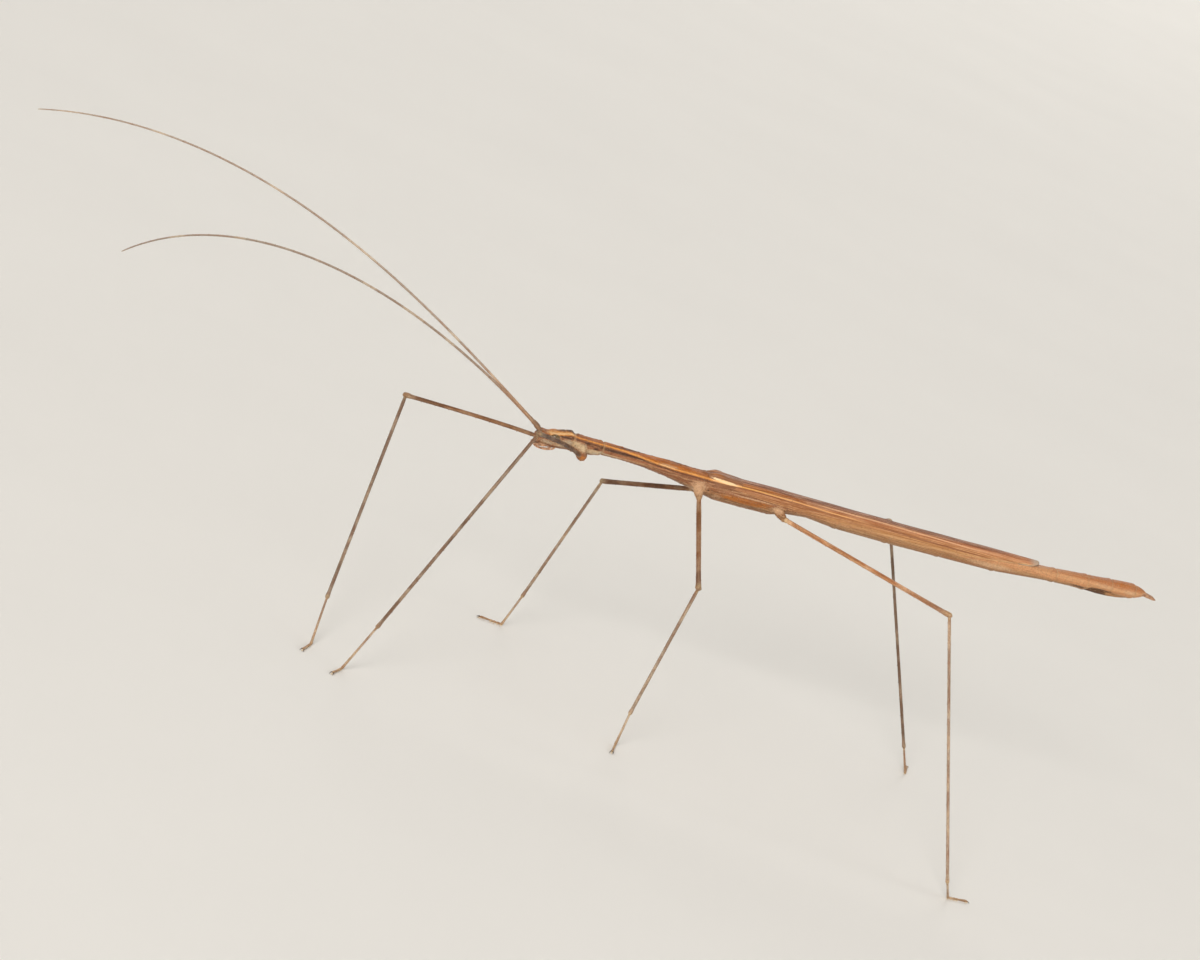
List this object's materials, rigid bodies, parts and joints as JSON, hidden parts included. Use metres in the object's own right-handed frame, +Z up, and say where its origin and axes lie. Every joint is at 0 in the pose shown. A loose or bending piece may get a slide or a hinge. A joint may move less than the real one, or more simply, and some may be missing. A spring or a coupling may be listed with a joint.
{
  "type": "winged stick insect",
  "caption": "Still, life-size model of a slender winged stick insect standing on its legs, with long raised feelers and wings folded along its back.",
  "frame": {"origin": "on the floor plane, below the middle of the whole insect's box", "axes": "+Z up from the floor; the head and feelers point along -X; the insect's left side faces -Y"},
  "size_m": [0.1436, 0.0612, 0.0441],
  "materials": {
    "cuticle": "satin",
    "wing": "satin",
    "leg": "satin",
    "feeler": "satin",
    "eye": "gloss"
  },
  "bodies": {
    "root": {"head": "cuticle", "mouthparts": "cuticle", "prothorax": "cuticle", "mesothorax": "cuticle", "metathorax": "cuticle", "abdomen_front": "cuticle", "abdomen_middle": "cuticle", "abdomen_rear": "cuticle", "abdomen_tip": "cuticle", "operculum": "cuticle", "tegmen_left": "wing", "hindwing_left": "wing", "eye_left": "eye", "cercus_left": "cuticle", "tegmen_right": "wing", "hindwing_right": "wing", "eye_right": "eye", "cercus_right": "cuticle", "coxa_fore_left": "cuticle", "coxa_fore_right": "cuticle", "coxa_mid_left": "cuticle", "coxa_mid_right": "cuticle", "coxa_hind_left": "cuticle", "coxa_hind_right": "cuticle", "antenna_left_base": "cuticle", "antenna_right_base": "cuticle", "femur_fore_left": "leg", "tibia_fore_left": "leg", "tarsus_fore_left": "leg", "femur_fore_right": "leg", "tibia_fore_right": "leg", "tarsus_fore_right": "leg", "femur_mid_left": "leg", "tibia_mid_left": "leg", "tarsus_mid_left": "leg", "femur_mid_right": "leg", "tibia_mid_right": "leg", "tarsus_mid_right": "leg", "femur_hind_left": "leg", "tibia_hind_left": "leg", "tarsus_hind_left": "leg", "femur_hind_right": "leg", "tibia_hind_right": "leg", "tarsus_hind_right": "leg", "antenna_left_1": "feeler", "antenna_left_2": "feeler", "antenna_left_3": "feeler", "antenna_left_4": "feeler", "antenna_right_1": "feeler", "antenna_right_2": "feeler", "antenna_right_3": "feeler", "antenna_right_4": "feeler"}
  },
  "joints": []
}
